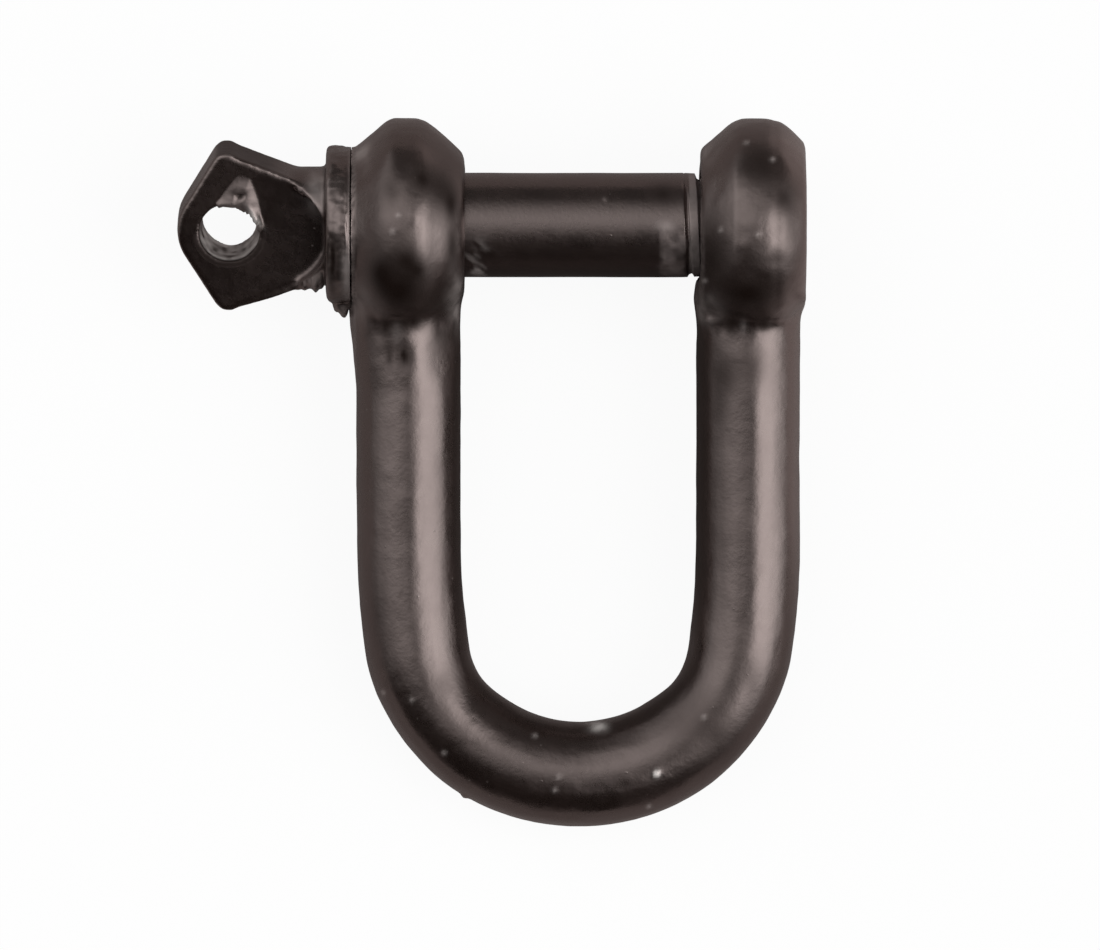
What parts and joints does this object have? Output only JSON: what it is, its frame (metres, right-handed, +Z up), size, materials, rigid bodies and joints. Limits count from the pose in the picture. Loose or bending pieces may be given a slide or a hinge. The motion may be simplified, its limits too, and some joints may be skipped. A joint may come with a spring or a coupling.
{
  "type": "chain joining shackle",
  "caption": "Black forged D shackle: a U-shaped round-bar bow with a plain and a tapped lug, closed by a collared screw pin whose flat paddle head has an eye.",
  "frame": {"origin": "on the pin axis, midway between the inner sides of the two legs", "axes": "+X along the pin from its paddle head to its threaded end, +Y from the bow's closed end toward the lugs, +Z up, with the shackle lying flat on its two lugs and the closed end of the bow"},
  "size_m": [0.0601, 0.0679, 0.0205],
  "materials": {
    "bow_finish": "semi-gloss black over forged steel, worn on edges",
    "pin_finish": "semi-gloss black over forged steel, rubbed where it bears"
  },
  "bodies": {
    "bow": {"shackle_bow": "bow_finish"},
    "pin": {"screw_pin": "pin_finish"}
  },
  "joints": [
    {"name": "pin_withdraw", "type": "slide", "parent": "bow", "child": "pin", "axis": [-1, 0, 0], "range_m": [0, 0.05]}
  ]
}
